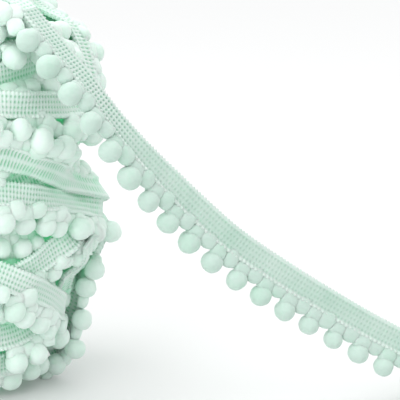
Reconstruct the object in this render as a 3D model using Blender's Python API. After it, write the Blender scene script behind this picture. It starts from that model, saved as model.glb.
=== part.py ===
"""Pompom fringe trim, wound into a standing bundle with one loose end.

The bundle is one solid of its wound form: an egg that stands on a small flat
spot, with a raised band for each outer turn of the trim and a rounded rib where
that turn's pompoms sit. The loose end is a flat heading tape that leaves the
bundle's shoulder, sags away to the right and lies flat at its cut end. Each of
its pompoms is a solid of its own, a tuft and a ball, a little off the tape's
fringe edge. Units are metres, +Z is up, +X is the way the loose end runs, and
the origin is the middle of the bundle's flat spot.
"""

import math
from typing import NamedTuple

import bmesh
import bpy
import numpy as np
from mathutils import Matrix, Vector

MM = 0.001
GAP = 0.3 * MM  # between a pompom or the bundle and the tape

# The trim
TAPE_WIDTH = 6.0 * MM
TAPE_THICKNESS = 1.0 * MM
TAPE_STEP = 2.8 * MM  # between two sections of the loose tape
POM_RADIUS = 2.6 * MM
POM_PITCH = 7.2 * MM
POM_DROP = 4.2 * MM  # from the tape's edge to the ball's middle
POM_SIDES = 8
TUFT_RADIUS = 1.7 * MM  # the short tuft between a ball and the tape
HANG = 0.35  # how far a ball on an upright tape gives way to gravity, from 0 to 1

# The bundle
EGG_RADIUS = 32.4 * MM
EGG_WIDEST = 66.0 * MM  # height of the widest level
EGG_ABOVE = 39.6 * MM  # from there to the crown
EGG_BELOW = 72.3 * MM  # from there to where the egg would end, below the flat spot
EGG_POWER = 2.6  # 2 is an ellipse, more is squarer
BUNDLE_SIDES = 56
BUNDLE_LEVELS = 52

# The raised bands on the bundle
TAPE_RISE = 2.8 * MM
POM_RISE = 5.0 * MM
BAND_HALF = 3.6 * MM
RIB_OFFSET = 6.6 * MM  # from the tape's middle to the row of balls
RIB_HALF = 2.9 * MM
CALM = 9.0 * MM  # the bands fade out this near to the crown or the flat spot
EASE_ROUNDS = 3  # how often the bands are eased, so that cloth has no sharp edge

MINT = (0.56, 0.80, 0.69, 1.0)


class Turn(NamedTuple):
    """An outer turn of the trim, where a leaning plane would cut the bundle."""

    height: float  # of the tape's middle, halfway between its high and low side
    lean: float  # how far its high side stands above that
    toward: float  # degrees from +X towards +Y to its high side
    fringe: int  # 1 with the balls above the tape, -1 with them below it
    lift: float  # how far it stands out over the turns below it


TURNS = (
    Turn(96.0 * MM, 3.0 * MM, 160, -1, -0.5 * MM),
    Turn(85.0 * MM, 9.0 * MM, -170, -1, 0.0),
    Turn(71.4 * MM, 5.0 * MM, -90, -1, 0.0),
    Turn(63.0 * MM, 13.0 * MM, 75, 1, -0.6 * MM),
    Turn(53.6 * MM, 16.5 * MM, -115, 1, 1.0 * MM),
    Turn(49.0 * MM, 8.0 * MM, -110, -1, 0.2 * MM),
    Turn(38.0 * MM, 12.0 * MM, 60, -1, -0.6 * MM),
    Turn(26.1 * MM, 16.0 * MM, -126, -1, 0.8 * MM),
    Turn(12.9 * MM, 9.0 * MM, 30, -1, -0.2 * MM),
)


class RoutePoint(NamedTuple):
    """A point on the loose tape's middle line, and how far the tape lies over."""

    x: float
    y: float
    z: float
    roll: float  # degrees: 0 stands on edge, balls down, and 90 lies flat


LOOSE_ROUTE = (
    RoutePoint(19.9 * MM, -20.2 * MM, 96.5 * MM, 84),
    RoutePoint(24.2 * MM, -22.7 * MM, 91.7 * MM, 82),
    RoutePoint(28.6 * MM, -24.9 * MM, 86.6 * MM, 77),
    RoutePoint(33.0 * MM, -26.4 * MM, 81.6 * MM, 69),
    RoutePoint(37.0 * MM, -27.0 * MM, 76.2 * MM, 59),
    RoutePoint(41.0 * MM, -26.8 * MM, 70.8 * MM, 47),
    RoutePoint(46.2 * MM, -25.9 * MM, 64.4 * MM, 31),
    RoutePoint(52.8 * MM, -24.0 * MM, 57.0 * MM, 14),
    RoutePoint(60.0 * MM, -22.0 * MM, 49.4 * MM, 3),
    RoutePoint(68.6 * MM, -20.0 * MM, 41.4 * MM, 0),
    RoutePoint(80.6 * MM, -17.0 * MM, 32.4 * MM, 0),
    RoutePoint(90.0 * MM, -15.0 * MM, 26.0 * MM, 0),
    RoutePoint(99.0 * MM, -13.4 * MM, 20.2 * MM, 2),
    RoutePoint(108.4 * MM, -12.0 * MM, 14.7 * MM, 8),
    RoutePoint(115.5 * MM, -11.4 * MM, 10.8 * MM, 20),
    RoutePoint(122.0 * MM, -11.0 * MM, 7.7 * MM, 42),
    RoutePoint(128.5 * MM, -10.8 * MM, 5.0 * MM, 64),
    RoutePoint(135.0 * MM, -10.7 * MM, 2.8 * MM, 80),
    RoutePoint(142.0 * MM, -10.7 * MM, 1.2 * MM, 88),
    RoutePoint(149.0 * MM, -10.7 * MM, 0.5 * MM, 90),
    RoutePoint(156.0 * MM, -10.7 * MM, 0.5 * MM, 90),
)


class Strip(NamedTuple):
    """The loose tape at even steps: its middle line and its cross directions."""

    middle: np.ndarray
    across: np.ndarray  # from the fringe edge to the plain edge
    outward: np.ndarray  # out of the tape's face


def clear_scene() -> None:
    """Remove every object that the file starts with."""
    for thing in list(bpy.data.objects):
        bpy.data.objects.remove(thing, do_unlink=True)


def yarn_material(name: str, tint: float) -> bpy.types.Material:
    """A matte yarn, the trim's mint made a little lighter or darker by tint."""
    material = bpy.data.materials.new(name)
    material.use_nodes = True
    shader = material.node_tree.nodes["Principled BSDF"]
    colour = [channel * tint for channel in MINT[:3]]
    shader.inputs["Base Color"].default_value = (*colour, 1.0)
    shader.inputs["Roughness"].default_value = 0.9
    shader.inputs["Metallic"].default_value = 0.0
    return material


def add_object(name: str, mesh: bpy.types.Mesh, material: bpy.types.Material):
    """Put a mesh in the scene as a named, smooth-shaded sub-part."""
    mesh.materials.append(material)
    mesh.shade_smooth()
    mesh.set_sharp_from_angle(angle=math.radians(50))
    thing = bpy.data.objects.new(name, mesh)
    bpy.context.scene.collection.objects.link(thing)
    return thing


def ring_mesh(name: str, rings: np.ndarray) -> bpy.types.Mesh:
    """A closed body through rings of points, with a flat fan on each end ring."""
    form = bmesh.new()
    loops = [[form.verts.new(point) for point in ring] for ring in rings]
    sides = len(loops[0])
    for low, high in zip(loops, loops[1:]):
        for i in range(sides):
            j = (i + 1) % sides
            form.faces.new((low[i], low[j], high[j], high[i]))
    for loop in (loops[0][::-1], loops[-1]):
        middle = form.verts.new(sum((v.co for v in loop), Vector()) / sides)
        for i in range(sides):
            form.faces.new((loop[i], loop[(i + 1) % sides], middle))
    bmesh.ops.recalc_face_normals(form, faces=form.faces)
    mesh = bpy.data.meshes.new(name)
    form.to_mesh(mesh)
    form.free()
    return mesh


# ---- the bundle


def egg_radius(height: np.ndarray) -> np.ndarray:
    """The plain egg's radius at each height."""
    reach = np.where(height > EGG_WIDEST, EGG_ABOVE, EGG_BELOW)
    share = np.clip(np.abs(height - EGG_WIDEST) / reach, 0.0, 1.0)
    return EGG_RADIUS * (1.0 - share**EGG_POWER) ** (1.0 / EGG_POWER)


def egg_profile() -> tuple:
    """Heights, radii and outward normals at even steps up the egg's side."""
    turned = np.linspace(0.0, 1.0, 2001)
    crown = EGG_WIDEST + EGG_ABOVE
    height = crown * (1.0 - (1.0 - turned) ** 2)
    radius = egg_radius(height)
    steps = np.hypot(np.diff(height), np.diff(radius))
    length = np.concatenate([[0.0], np.cumsum(steps)])
    even = np.linspace(0.0, length[-1] * 0.985, BUNDLE_LEVELS)
    height_at = np.interp(even, length, height)
    radius_at = np.interp(even, length, radius)
    rise = np.gradient(height_at)
    widen = np.gradient(radius_at)
    size = np.hypot(rise, widen)
    return height_at, radius_at, rise / size, -widen / size


def band_rise(height: np.ndarray, radius: np.ndarray, angle: np.ndarray) -> np.ndarray:
    """How far the highest band stands out at each point of the egg."""
    best = np.zeros_like(height)
    for turn in TURNS:
        lag = angle - math.radians(turn.toward)
        slope = turn.lean * np.sin(lag) / np.maximum(radius, MM)
        off = (height - turn.height - turn.lean * np.cos(lag)) / np.hypot(1.0, slope)
        tape = TAPE_RISE * np.exp(-((off / BAND_HALF) ** 4))
        rib_off = (off - turn.fringe * RIB_OFFSET) / RIB_HALF
        rib = POM_RISE * np.exp(-(rib_off**2))
        near = np.exp(-((off - turn.fringe * RIB_OFFSET / 2) / (2 * RIB_HALF)) ** 4)
        best = np.maximum(best, np.maximum(tape, rib) + turn.lift * near)
    return best


def eased(rise: np.ndarray) -> np.ndarray:
    """The bands' rise with each point drawn towards its four neighbours."""
    for _ in range(EASE_ROUNDS):
        ends = np.vstack([rise[:1], rise, rise[-1:]])
        around = np.roll(rise, 1, axis=1) + np.roll(rise, -1, axis=1)
        rise = (4.0 * rise + around + ends[:-2] + ends[2:]) / 8.0
    return rise


def build_bundle() -> None:
    """The wound bundle, with its outer turns' bands and its flat spot."""
    height, radius, out, up = egg_profile()
    angle = np.linspace(0.0, math.tau, BUNDLE_SIDES, endpoint=False)
    level, around = np.meshgrid(height, angle, indexing="ij")
    wide = np.repeat(radius[:, None], BUNDLE_SIDES, axis=1)
    from_ends = np.minimum(level, height[-1] - level)
    calm = np.clip(from_ends / CALM, 0.0, 1.0)
    rise = eased(band_rise(level, wide, around)) * calm
    wide = wide + rise * out[:, None]
    level = level + rise * up[:, None]
    rings = np.stack([wide * np.cos(around), wide * np.sin(around), level], axis=-1)
    rings[0, :, 2] = 0.0
    add_object("wound_bundle", ring_mesh("wound_bundle", rings), yarn_material("wound_yarn", 0.97))


# ---- the loose end


def smooth_route(rows: tuple, per_span: int = 24) -> np.ndarray:
    """Points close together on a smooth curve through the rows, roll included."""
    points = np.array(rows)
    padded = np.vstack([2 * points[0] - points[1], points, 2 * points[-1] - points[-2]])
    t = np.linspace(0.0, 1.0, per_span, endpoint=False)[:, None]
    spans = []
    for a, b, c, d in zip(padded, padded[1:], padded[2:], padded[3:]):
        even = 2 * b + (c - a) * t
        bent = (2 * a - 5 * b + 4 * c - d) * t**2 + (3 * b - a - 3 * c + d) * t**3
        spans.append((even + bent) / 2)
    return np.vstack([*spans, points[-1]])


def strip_along(step: float) -> Strip:
    """The loose tape's middle line and directions, one row for each step."""
    fine = smooth_route(LOOSE_ROUTE)
    gone = np.linalg.norm(np.diff(fine[:, :3], axis=0), axis=1)
    length = np.concatenate([[0.0], np.cumsum(gone)])
    even = np.linspace(0.0, length[-1], round(length[-1] / step) + 1)
    rows = np.stack([np.interp(even, length, fine[:, k]) for k in range(4)], axis=1)
    middle = rows[:, :3]
    along = np.gradient(middle, axis=0)
    along /= np.linalg.norm(along, axis=1)[:, None]
    upright = np.array([0.0, 0.0, 1.0]) - along * along[:, 2:3]
    upright /= np.linalg.norm(upright, axis=1)[:, None]
    side = np.cross(along, upright)
    roll = np.radians(rows[:, 3:4])
    across = np.cos(roll) * upright - np.sin(roll) * side
    outward = np.cross(along, across)
    reach = np.abs(across[:, 2]) * TAPE_WIDTH + np.abs(outward[:, 2]) * TAPE_THICKNESS
    middle[:, 2] = np.maximum(middle[:, 2], reach / 2)
    return Strip(middle, across, outward)


def build_loose_tape(strip: Strip) -> None:
    """The flat heading tape of the loose end, thin at its two edges."""
    half = TAPE_WIDTH / 2
    thick = TAPE_THICKNESS / 2
    corners = ((-half, -0.7), (half, -0.7), (half, 0.7), (0.0, 1.0), (-half, 0.7), (0.0, -1.0))
    order = (0, 5, 1, 2, 3, 4)
    rings = [
        [
            middle + across * corners[k][0] + outward * corners[k][1] * thick
            for k in order
        ]
        for middle, across, outward in zip(*strip)
    ]
    add_object("loose_tape", ring_mesh("loose_tape", np.array(rings)), yarn_material("tape_yarn", 1.0))


def pom_profile() -> list:
    """The tuft and ball as (distance from the tape's edge, radius) rows."""
    rows = [(GAP, 0.55 * TUFT_RADIUS), (0.5 * TUFT_RADIUS, 0.95 * TUFT_RADIUS)]
    for degrees in (145, 120, 90, 60, 32):
        turn = math.radians(degrees)
        rows.append((POM_DROP + POM_RADIUS * math.cos(turn), POM_RADIUS * math.sin(turn)))
    return sorted(rows)


def build_pom(name: str, edge: Vector, way: Vector, material) -> None:
    """One pompom whose axis leaves the tape's edge along way, pressed flat below z=0."""
    rings = []
    for distance, radius in pom_profile():
        rings.append(
            [
                (
                    radius * math.cos(math.tau * i / POM_SIDES),
                    radius * math.sin(math.tau * i / POM_SIDES),
                    distance,
                )
                for i in range(POM_SIDES)
            ]
        )
    pom = add_object(name, ring_mesh(name, np.array(rings)), material)
    turned = way.to_track_quat("Z", "Y").to_matrix().to_4x4()
    pom.matrix_world = Matrix.Translation(edge) @ turned
    back = pom.matrix_world.inverted()
    for vertex in pom.data.vertices:
        place = pom.matrix_world @ vertex.co
        place.z = max(place.z, 0.0)
        vertex.co = back @ place


def hang_way(edge: Vector, across: Vector) -> Vector:
    """Which way a ball leaves the edge: down and out, but never into the surface."""
    hang = HANG * max(across.z, 0.0)
    way = (-across * (1.0 - hang) + Vector((0.0, 0.0, -hang))).normalized()
    lowest = (POM_RADIUS - edge.z) / POM_DROP
    if way.z >= lowest:
        return way
    level = Vector((-across.x, -across.y, 0.0)).normalized()
    return level * math.sqrt(1.0 - lowest**2) + Vector((0.0, 0.0, lowest))


def build_loose_poms() -> None:
    """The pompoms along the loose end's fringe edge, one pitch apart."""
    strip = strip_along(POM_PITCH)
    half = TAPE_WIDTH / 2
    material = yarn_material("pom_yarn", 1.03)
    for number in range(1, len(strip.middle) - 1):
        across = Vector(strip.across[number])
        edge = Vector(strip.middle[number]) - across * half
        build_pom(f"pompom_{number:02d}", edge, hang_way(edge, across), material)


def main() -> None:
    """Build the bundle, the loose tape and its pompoms."""
    clear_scene()
    build_bundle()
    build_loose_tape(strip_along(TAPE_STEP))
    build_loose_poms()


main()
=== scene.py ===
"""The looks of the wound pompom fringe trim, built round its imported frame.

One strip of trim is laid turn by turn round an egg, each turn over what lies
beneath it, and its last turn runs on into the loose end. A strip is a knitted
heading tape, with a soft tuft and a pompom hung from its fringe edge at each
pitch. Lengths are in metres and +Z is up.
"""

import logging
import math
from dataclasses import dataclass, field, replace
from enum import Enum
from typing import NamedTuple, Sequence

import bpy
import numpy as np
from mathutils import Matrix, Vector
from mathutils.kdtree import KDTree


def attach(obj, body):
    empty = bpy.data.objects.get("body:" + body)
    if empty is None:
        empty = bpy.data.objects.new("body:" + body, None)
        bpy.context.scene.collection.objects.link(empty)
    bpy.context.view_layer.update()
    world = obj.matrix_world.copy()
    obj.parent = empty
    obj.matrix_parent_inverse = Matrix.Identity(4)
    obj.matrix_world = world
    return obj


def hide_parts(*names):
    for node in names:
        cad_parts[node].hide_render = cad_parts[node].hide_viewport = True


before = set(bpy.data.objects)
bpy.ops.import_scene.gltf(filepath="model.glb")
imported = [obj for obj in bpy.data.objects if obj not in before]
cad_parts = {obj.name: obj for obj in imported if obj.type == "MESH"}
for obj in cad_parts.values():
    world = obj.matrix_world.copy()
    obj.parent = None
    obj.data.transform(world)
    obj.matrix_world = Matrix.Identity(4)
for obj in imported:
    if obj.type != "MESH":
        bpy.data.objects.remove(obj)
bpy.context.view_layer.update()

MM = 0.001
BODY = "root"
LOG = logging.getLogger("pompom_trim")
FLOOR_GAP = 0.05 * MM  # the least height of any point over the surface

Line = tuple[np.ndarray, np.ndarray, np.ndarray]  # feet on the egg, the normals there and twists
Form = tuple[np.ndarray, np.ndarray]  # points, and faces as rows of vertex numbers
Value = float | tuple[float, ...] | bpy.types.NodeSocket  # what a node's input can be given


class Side(Enum):
    """Which side of a turn its pompoms are on."""

    BELOW = 0.0
    ABOVE = math.pi


class Turn(NamedTuple):
    """One turn of the trim round the bundle, lying as a leaning ring."""

    height: float  # of the tape's middle, halfway between its high and low side
    lean: float  # how far its high side stands above that
    toward: float  # degrees from +X towards +Y to its high side
    side: Side


class Place(NamedTuple):
    """A point that a stretch of the trim passes on the bundle."""

    angle: float  # degrees from +X towards +Y
    height: float


class Stretch(NamedTuple):
    """A steep stretch of the trim down the bundle's side, both ends tucked in."""

    after: int  # how many outer turns lie under it
    side: Side
    places: tuple[Place, ...]
    lifted: float = 0.2  # how far its pompoms' side stands off, in radians
    firm: float = 0.6  # how much of its height over the ground each pompom keeps


class RoutePoint(NamedTuple):
    """A point on the loose tape's middle line, and how far the tape lies over."""

    x: float
    y: float
    z: float
    roll: float  # degrees: 0 stands on edge, pompoms down, and 90 lies flat


OUTER_TURNS = (
    Turn(81.0 * MM, 6.0 * MM, 10, Side.BELOW),
    Turn(63.0 * MM, 13.0 * MM, 75, Side.ABOVE),
    Turn(38.0 * MM, 12.0 * MM, 60, Side.BELOW),
    Turn(8.0 * MM, 3.0 * MM, 30, Side.BELOW),
    Turn(47.0 * MM, 31.0 * MM, 125, Side.BELOW),
    Turn(27.1 * MM, 16.0 * MM, -126, Side.BELOW),
    Turn(49.0 * MM, 8.0 * MM, -110, Side.BELOW),
    Turn(71.4 * MM, 5.0 * MM, -90, Side.BELOW),
    Turn(56.5 * MM, 12.0 * MM, -115, Side.ABOVE),
    Turn(91.0 * MM, 4.0 * MM, -110, Side.BELOW),
    Turn(99.0 * MM, 2.0 * MM, 160, Side.BELOW),
    Turn(103.6 * MM, 0.8 * MM, 0, Side.BELOW),
    Turn(88.0 * MM, 11.0 * MM, -150, Side.BELOW),
)

STRETCHES = (
    Stretch(
        after=4,
        side=Side.ABOVE,
        places=(
            Place(-16, 40.0 * MM),
            Place(-12, 35.0 * MM),
            Place(-8, 30.0 * MM),
            Place(-2, 22.0 * MM),
        ),
    ),
    Stretch(
        after=6,
        side=Side.BELOW,
        places=(
            Place(15, 38.5 * MM),
            Place(14, 34.0 * MM),
            Place(14, 28.0 * MM),
            Place(14, 18.0 * MM),
            Place(16, 9.0 * MM),
            Place(22, 4.0 * MM),
        ),
    ),
    Stretch(
        after=11,
        side=Side.ABOVE,
        places=(
            Place(34, 103.0 * MM),
            Place(18, 98.0 * MM),
            Place(9, 91.0 * MM),
            Place(3, 82.0 * MM),
            Place(-3, 71.0 * MM),
        ),
    ),
)

LOOSE_ROUTE = (
    RoutePoint(19.9 * MM, -20.2 * MM, 96.5 * MM, 84),
    RoutePoint(24.2 * MM, -22.7 * MM, 91.7 * MM, 82),
    RoutePoint(28.6 * MM, -24.9 * MM, 86.6 * MM, 77),
    RoutePoint(33.0 * MM, -26.4 * MM, 81.6 * MM, 69),
    RoutePoint(37.0 * MM, -27.0 * MM, 76.2 * MM, 59),
    RoutePoint(41.0 * MM, -26.8 * MM, 70.8 * MM, 47),
    RoutePoint(46.2 * MM, -25.9 * MM, 64.4 * MM, 31),
    RoutePoint(52.8 * MM, -24.0 * MM, 57.0 * MM, 14),
    RoutePoint(60.0 * MM, -22.0 * MM, 49.4 * MM, 3),
    RoutePoint(68.6 * MM, -20.0 * MM, 41.4 * MM, 0),
    RoutePoint(80.6 * MM, -17.0 * MM, 32.4 * MM, 0),
    RoutePoint(90.0 * MM, -15.0 * MM, 26.0 * MM, 0),
    RoutePoint(99.0 * MM, -13.4 * MM, 20.2 * MM, 2),
    RoutePoint(108.4 * MM, -12.0 * MM, 14.7 * MM, 8),
    RoutePoint(115.5 * MM, -11.4 * MM, 10.8 * MM, 20),
    RoutePoint(122.0 * MM, -11.0 * MM, 7.7 * MM, 42),
    RoutePoint(128.5 * MM, -10.8 * MM, 5.0 * MM, 64),
    RoutePoint(135.0 * MM, -10.7 * MM, 2.8 * MM, 80),
    RoutePoint(142.0 * MM, -10.7 * MM, 1.2 * MM, 88),
    RoutePoint(149.0 * MM, -10.7 * MM, 0.5 * MM, 90),
    RoutePoint(156.0 * MM, -10.7 * MM, 0.5 * MM, 90),
)


# ---- small helpers


def unit(rows: np.ndarray) -> np.ndarray:
    """The rows of an array, each made one long."""
    return rows / np.maximum(np.linalg.norm(rows, axis=-1, keepdims=True), 1e-12)


def ease(share: np.ndarray) -> np.ndarray:
    """A smooth step from 0 to 1 as share goes from 0 to 1."""
    held = np.clip(share, 0.0, 1.0)
    return held * held * (3.0 - 2.0 * held)


def smoothed(rows: np.ndarray, spread: float) -> np.ndarray:
    """Rows averaged with their neighbours along the first axis.

    Args:
        rows: values at even steps along a strip.
        spread: the bell curve's standard deviation in steps.

    Returns:
        An array of the same shape.
    """
    reach = max(1, int(3 * spread))
    bell = np.exp(-0.5 * (np.arange(-reach, reach + 1) / spread) ** 2)
    bell /= bell.sum()
    flat = rows.reshape(len(rows), -1)
    first = np.repeat(flat[:1], reach, axis=0)
    last = np.repeat(flat[-1:], reach, axis=0)
    padded = np.vstack([first, flat, last])
    columns = [np.convolve(padded[:, k], bell, mode="valid") for k in range(flat.shape[1])]
    return np.stack(columns, axis=1).reshape(rows.shape)


def threaded(rows: np.ndarray, per_span: int = 24) -> np.ndarray:
    """Points close together on a smooth curve through some rows.

    Args:
        rows: the points that it passes, with any other columns.
        per_span: how many points stand for each span.

    Returns:
        One row for each point of the curve.
    """
    padded = np.vstack([2 * rows[0] - rows[1], rows, 2 * rows[-1] - rows[-2]])
    t = np.linspace(0.0, 1.0, per_span, endpoint=False)[:, None]
    spans = []
    for a, b, c, d in zip(padded, padded[1:], padded[2:], padded[3:]):
        even = 2 * b + (c - a) * t
        bent = (2 * a - 5 * b + 4 * c - d) * t**2 + (3 * b - a - 3 * c + d) * t**3
        spans.append((even + bent) / 2)
    return np.vstack([*spans, rows[-1]])


def window_max(row: np.ndarray, reach: int) -> np.ndarray:
    """The largest value within reach steps of each place in a row."""
    padded = np.pad(row, reach, mode="edge")
    return np.lib.stride_tricks.sliding_window_view(padded, 2 * reach + 1).max(axis=1)


def bridged(row: np.ndarray, reach: int) -> np.ndarray:
    """A row whose dips narrower than twice reach are spanned, as by a taut strip."""
    return -window_max(-window_max(row, reach), reach)


def gaps(points: np.ndarray) -> np.ndarray:
    """The distance from each row to the next."""
    return np.linalg.norm(np.diff(points, axis=0), axis=1)


def run_along(steps: np.ndarray) -> np.ndarray:
    """How far along a line each row lies, from the distances between rows."""
    return np.concatenate([[0.0], np.cumsum(steps)])


def resampled(wanted: np.ndarray, known: np.ndarray, rows: np.ndarray) -> np.ndarray:
    """Rows at other distances along a line.

    Args:
        wanted: the distances to find rows for.
        known: how far along each given row lies.
        rows: the given rows.

    Returns:
        One row for each wanted distance.
    """
    columns = [np.interp(wanted, known, rows[:, k]) for k in range(rows.shape[1])]
    return np.stack(columns, axis=1)


def square_to(axes: np.ndarray, rows: np.ndarray) -> np.ndarray:
    """Rows without their part along some unit axes, each made one long."""
    return unit(rows - axes * np.sum(rows * axes, axis=1, keepdims=True))


def ripple(gone: np.ndarray, length: float) -> np.ndarray:
    """A wave between 0 and 1 whose crests are a length apart."""
    return 0.5 + 0.5 * np.cos(math.tau * gone / length)


def searchable(points: np.ndarray) -> KDTree:
    """A tree that finds the points near a place.

    Args:
        points: one row for each point.

    Returns:
        The tree, in which a point's number is its row.
    """
    tree = KDTree(len(points))
    for number, point in enumerate(points):
        tree.insert(point, number)
    tree.balance()
    return tree


def new_mesh_piece(
    name: str,
    points: np.ndarray,
    faces: np.ndarray,
    uv: np.ndarray | None,
    marks: dict[str, np.ndarray],
    material: bpy.types.Material,
) -> bpy.types.Object:
    """A smooth-shaded piece from arrays.

    Args:
        name: the piece's name.
        points: one row for each vertex.
        faces: one row for each face, of three or four vertex numbers.
        uv: one row for each vertex, or None.
        marks: attributes by name, each with one number for each vertex.
        material: the finish.

    Returns:
        The object, at the origin, riding on the part.
    """
    mesh = bpy.data.meshes.new(name)
    sides = faces.shape[1]
    mesh.vertices.add(len(points))
    mesh.vertices.foreach_set("co", points.astype(np.float32).ravel())
    mesh.loops.add(faces.size)
    mesh.loops.foreach_set("vertex_index", faces.astype(np.int32).ravel())
    mesh.polygons.add(len(faces))
    mesh.polygons.foreach_set("loop_start", np.arange(0, faces.size, sides, dtype=np.int32))
    mesh.update(calc_edges=True)
    mesh.validate()
    if uv is not None:
        layer = mesh.uv_layers.new(name="TrimUV")
        layer.data.foreach_set("uv", uv[faces.ravel()].astype(np.float32).ravel())
    for mark, values in marks.items():
        layer = mesh.attributes.new(mark, "FLOAT", "POINT")
        layer.data.foreach_set("value", values.astype(np.float32))
    mesh.shade_smooth()
    mesh.materials.append(material)
    piece = bpy.data.objects.new(name, mesh)
    bpy.context.scene.collection.objects.link(piece)
    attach(piece, BODY)
    LOG.info("%s: %d faces", name, len(mesh.polygons))
    return piece


# ---- the strip of trim


@dataclass(frozen=True)
class Trim:
    """The sizes of the trim itself."""

    width: float = 6.0 * MM
    thickness: float = 1.0 * MM
    pitch: float = 7.2 * MM  # between two pompoms
    ball: float = 2.6 * MM  # a pompom's radius
    drop: float = 4.2 * MM  # from the tape's edge to a pompom's middle
    rib: float = 1.0 * MM  # between two cross ribs
    hang: float = 0.35  # how far a pompom gives way to gravity, from 0 to 1

    @property
    def half(self) -> float:
        """Half the tape's width."""
        return self.width / 2


@dataclass
class Strip:
    """A stretch of tape at even steps: its middle line and its cross directions."""

    middle: np.ndarray
    across: np.ndarray  # from the fringe edge to the plain edge
    outward: np.ndarray  # out of the tape's face
    gone: np.ndarray  # how far along the trim each row is

    def at(self, gone: np.ndarray) -> "Strip":
        """The strip's rows at other distances along it.

        Args:
            gone: distances along the trim.

        Returns:
            A strip with one row for each of them.
        """
        middle = resampled(gone, self.gone, self.middle)
        across = unit(resampled(gone, self.gone, self.across))
        outward = square_to(across, resampled(gone, self.gone, self.outward))
        return Strip(middle, across, outward, gone)


class Loose:
    """The route of the loose end, as a strip."""

    def __init__(self, trim: Trim, rows: Sequence[RoutePoint]) -> None:
        """Run a smooth line through the route's points.

        Args:
            trim: the trim's sizes.
            rows: the points, from the bundle outwards.
        """
        self.trim = trim
        self.fine = threaded(np.array(rows))
        self.run = run_along(gaps(self.fine[:, :3]))
        self.length = float(self.run[-1])

    def strip(self, step: float) -> Strip:
        """The loose tape's middle line and directions.

        Args:
            step: about how far apart the rows are.

        Returns:
            The strip, its rows evenly spaced over the whole length.
        """
        even = np.linspace(0.0, self.length, round(self.length / step) + 1)
        rows = resampled(even, self.run, self.fine)
        middle = rows[:, :3]
        along = unit(np.gradient(middle, axis=0))
        upright = unit(np.array([0.0, 0.0, 1.0]) - along * along[:, 2:3])
        side = np.cross(along, upright)
        roll = np.radians(rows[:, 3:4])
        across = np.cos(roll) * upright - np.sin(roll) * side
        outward = np.cross(along, across)
        trim = self.trim
        reach = np.abs(across[:, 2]) * trim.width + np.abs(outward[:, 2]) * trim.thickness
        middle[:, 2] = np.maximum(middle[:, 2], reach / 2)
        return Strip(middle, across, outward, even)

    def hang_way(self, edge: np.ndarray, across: np.ndarray) -> np.ndarray:
        """Which way a pompom leaves the edge: down and out, never into the surface.

        Args:
            edge: the point of the fringe edge that it hangs from.
            across: the way from the fringe edge to the plain edge.

        Returns:
            The way from the edge to the pompom's middle, one long.
        """
        trim = self.trim
        hang = trim.hang * max(across[2], 0.0)
        way = unit(-across * (1.0 - hang) + np.array([0.0, 0.0, -hang]))
        lowest = (trim.ball - edge[2]) / trim.drop
        if way[2] >= lowest:
            return way
        level = unit(np.array([-across[0], -across[1], 0.0]))
        return level * math.sqrt(1.0 - lowest**2) + np.array([0.0, 0.0, lowest])


# ---- the winding


@dataclass(frozen=True)
class Egg:
    """The wound bundle's plain form, which the turns lie near."""

    radius: float = 32.4 * MM
    widest: float = 66.0 * MM  # the height at which it is widest
    above: float = 39.6 * MM  # from there up to its crown
    below: float = 72.3 * MM  # from there down to where it would close
    power: float = 2.6  # 2 for an ellipse, and more for a fuller form

    def wide(self, height: np.ndarray) -> np.ndarray:
        """The egg's radius.

        Args:
            height: metres above the surface that it stands on.

        Returns:
            The radius at each height.
        """
        reach = np.where(height > self.widest, self.above, self.below)
        share = np.clip(np.abs(height - self.widest) / reach, 0.0, 0.9999)
        return self.radius * (1.0 - share**self.power) ** (1.0 / self.power)

    def place(self, angle: np.ndarray, height: np.ndarray) -> tuple[np.ndarray, np.ndarray]:
        """Points on the egg and the way out of it there.

        Args:
            angle: radians from +X towards +Y.
            height: metres above the surface that it stands on.

        Returns:
            The points and the unit normals.
        """
        wide = self.wide(height)
        step = 0.05 * MM
        slope = (self.wide(height + step) - self.wide(height - step)) / (2 * step)
        points = np.stack([wide * np.cos(angle), wide * np.sin(angle), height], axis=-1)
        out = unit(np.stack([np.cos(angle), np.sin(angle), -slope], axis=-1))
        return points, out

    def cloud(self, spacing: float) -> tuple[np.ndarray, np.ndarray]:
        """Points spread evenly over the egg.

        Args:
            spacing: about how far apart they are.

        Returns:
            The points and the unit normals.
        """
        crown = self.widest + self.above
        turned = np.linspace(0.0, 1.0, 2001)
        height = crown * (1.0 - (1.0 - turned) ** 2)
        length = run_along(np.hypot(np.diff(height), np.diff(self.wide(height))))
        levels = np.interp(np.arange(0.0, length[-1], spacing), length, height)
        points, outs = [], []
        for level in levels:
            count = max(5, round(math.tau * float(self.wide(level)) / spacing))
            angle = np.linspace(0.0, math.tau, count, endpoint=False)
            at, out = self.place(angle, np.full(count, level))
            points.append(at)
            outs.append(out)
        return np.vstack(points), np.vstack(outs)


class Hung(NamedTuple):
    """A pompom in its place, with the tape's edge it hangs from."""

    centre: np.ndarray
    edge: np.ndarray
    along: np.ndarray


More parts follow.
